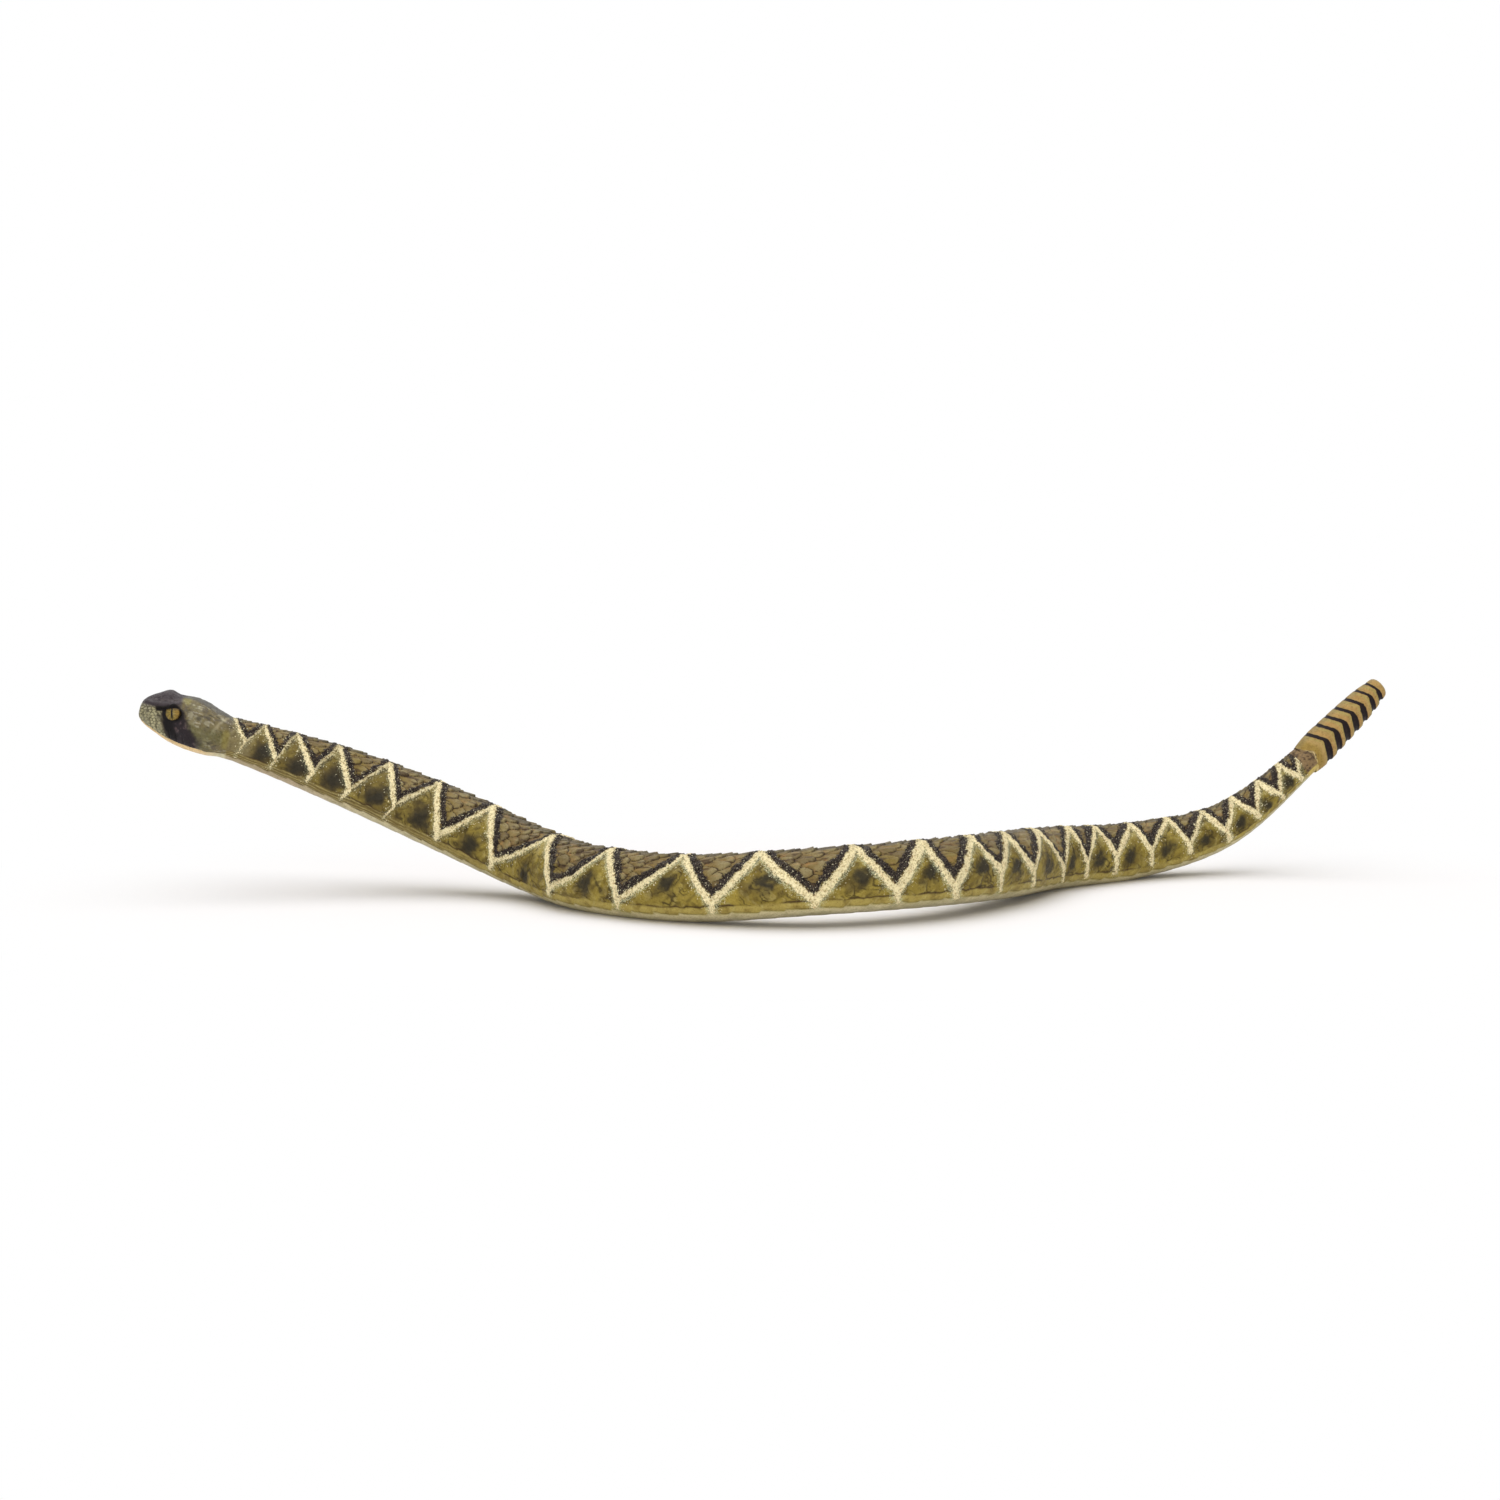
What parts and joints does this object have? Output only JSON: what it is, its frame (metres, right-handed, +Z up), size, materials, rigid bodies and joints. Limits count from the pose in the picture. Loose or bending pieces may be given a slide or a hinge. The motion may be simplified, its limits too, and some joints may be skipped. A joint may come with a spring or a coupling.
{
  "type": "snake toy",
  "caption": "Painted soft-vinyl toy rattlesnake that lies in a shallow curve with head and rattle raised, bendable along a wire core.",
  "frame": {"origin": "middle of the flat that the belly rests on below the neck, halfway along the fifth length of the body from the head", "axes": "+X towards the rattle end, +Y to the snake's own right (away from the front view), +Z up"},
  "size_m": [0.3491, 0.1338, 0.0555],
  "materials": {
    "head_vinyl": "hand-painted soft vinyl, grey crown, olive cheeks, black eye stripe",
    "jaw_vinyl": "painted soft vinyl, cream",
    "eye": "glossy amber bead with a slit pupil",
    "back_vinyl": "scaled soft vinyl, brown over olive with a cream and dark zigzag",
    "belly_vinyl": "soft vinyl, pale olive cream",
    "wire": "plain annealed steel wire",
    "cap": "moulded soft cap",
    "rattle_vinyl": "soft vinyl, mustard tan with dark grooves"
  },
  "bodies": {
    "head": {"head": "head_vinyl", "lower_jaw": "jaw_vinyl", "left_eye": "eye", "right_eye": "eye", "head_core_wire": "wire", "head_wire_cap": "cap"},
    "body_length_1": {"back_skin_1": "back_vinyl", "belly_skin_1": "belly_vinyl", "core_wire_1": "wire"},
    "body_length_2": {"back_skin_2": "back_vinyl", "belly_skin_2": "belly_vinyl", "core_wire_2": "wire"},
    "body_length_3": {"back_skin_3": "back_vinyl", "belly_skin_3": "belly_vinyl", "core_wire_3": "wire"},
    "body_length_4": {"back_skin_4": "back_vinyl", "belly_skin_4": "belly_vinyl", "core_wire_4": "wire"},
    "body_length_5": {"back_skin_5": "back_vinyl", "belly_skin_5": "belly_vinyl", "core_wire_5": "wire"},
    "body_length_6": {"back_skin_6": "back_vinyl", "belly_skin_6": "belly_vinyl", "core_wire_6": "wire"},
    "body_length_7": {"back_skin_7": "back_vinyl", "belly_skin_7": "belly_vinyl", "core_wire_7": "wire"},
    "body_length_8": {"back_skin_8": "back_vinyl", "belly_skin_8": "belly_vinyl", "core_wire_8": "wire"},
    "body_length_9": {"back_skin_9": "back_vinyl", "belly_skin_9": "belly_vinyl", "core_wire_9": "wire"},
    "body_length_10": {"back_skin_10": "back_vinyl", "belly_skin_10": "belly_vinyl", "core_wire_10": "wire"},
    "body_length_11": {"back_skin_11": "back_vinyl", "belly_skin_11": "belly_vinyl", "core_wire_11": "wire"},
    "body_length_12": {"back_skin_12": "back_vinyl", "belly_skin_12": "belly_vinyl", "core_wire_12": "wire"},
    "rattle": {"rattle": "rattle_vinyl", "rattle_core_wire": "wire", "rattle_wire_cap": "cap"}
  },
  "joints": [
    {"name": "head_nod", "type": "hinge", "parent": "body_length_1", "child": "head", "pos_m": [-0.1123, 0.0545, 0.04155], "axis": [0.0426, 0.9991, 0], "range_deg": [-20, 20]},
    {"name": "neck_turn", "type": "hinge", "parent": "body_length_2", "child": "body_length_1", "pos_m": [-0.0832, 0.0536, 0.03162], "axis": [-0.3439, 0.0294, -0.9385], "range_deg": [-22, 22]},
    {"name": "neck_lift", "type": "hinge", "parent": "body_length_3", "child": "body_length_2", "pos_m": [-0.055, 0.0496, 0.0204], "axis": [0.3066, 0.9518, 0], "range_deg": [-18, 18]},
    {"name": "fore_turn", "type": "hinge", "parent": "body_length_4", "child": "body_length_3", "pos_m": [-0.0298, 0.0364, 0.0107], "axis": [-0.1527, 0.1361, -0.9789], "range_deg": [-22, 22]},
    {"name": "fore_lift", "type": "hinge", "parent": "body_length_5", "child": "body_length_4", "pos_m": [-0.0125, 0.0117, 0.0085], "axis": [0.7235, 0.6904, 0], "range_deg": [-18, 18]},
    {"name": "body_turn_5", "type": "hinge", "parent": "body_length_5", "child": "body_length_6", "pos_m": [0.014, -0.0095, 0.00891], "axis": [-0.0427, 0.0208, 0.9989], "range_deg": [-22, 22]},
    {"name": "body_turn_6", "type": "hinge", "parent": "body_length_6", "child": "body_length_7", "pos_m": [0.0465, -0.017, 0.01162], "axis": [-0.049, -0.0051, 0.9988], "range_deg": [-22, 22]},
    {"name": "body_turn_7", "type": "hinge", "parent": "body_length_7", "child": "body_length_8", "pos_m": [0.0765, -0.003, 0.01201], "axis": [0.0122, 0.0099, 0.9999], "range_deg": [-22, 22]},
    {"name": "body_turn_8", "type": "hinge", "parent": "body_length_8", "child": "body_length_9", "pos_m": [0.097, 0.024, 0.0106], "axis": [0.027, 0.0445, 0.9986], "range_deg": [-22, 22]},
    {"name": "body_turn_9", "type": "hinge", "parent": "body_length_9", "child": "body_length_10", "pos_m": [0.112, 0.0555, 0.00844], "axis": [0.0255, 0.0349, 0.9991], "range_deg": [-22, 22]},
    {"name": "tail_lift", "type": "hinge", "parent": "body_length_10", "child": "body_length_11", "pos_m": [0.1362, 0.0778, 0.00772], "axis": [0.5588, -0.8293, 0], "range_deg": [-18, 18]},
    {"name": "tail_turn", "type": "hinge", "parent": "body_length_11", "child": "body_length_12", "pos_m": [0.1632, 0.09, 0.01362], "axis": [-0.3726, -0.1439, 0.9168], "range_deg": [-22, 22]},
    {"name": "rattle_nod", "type": "hinge", "parent": "body_length_12", "child": "rattle", "pos_m": [0.1872, 0.0975, 0.03154], "axis": [0.3206, -0.9472, 0], "range_deg": [-20, 20]}
  ]
}
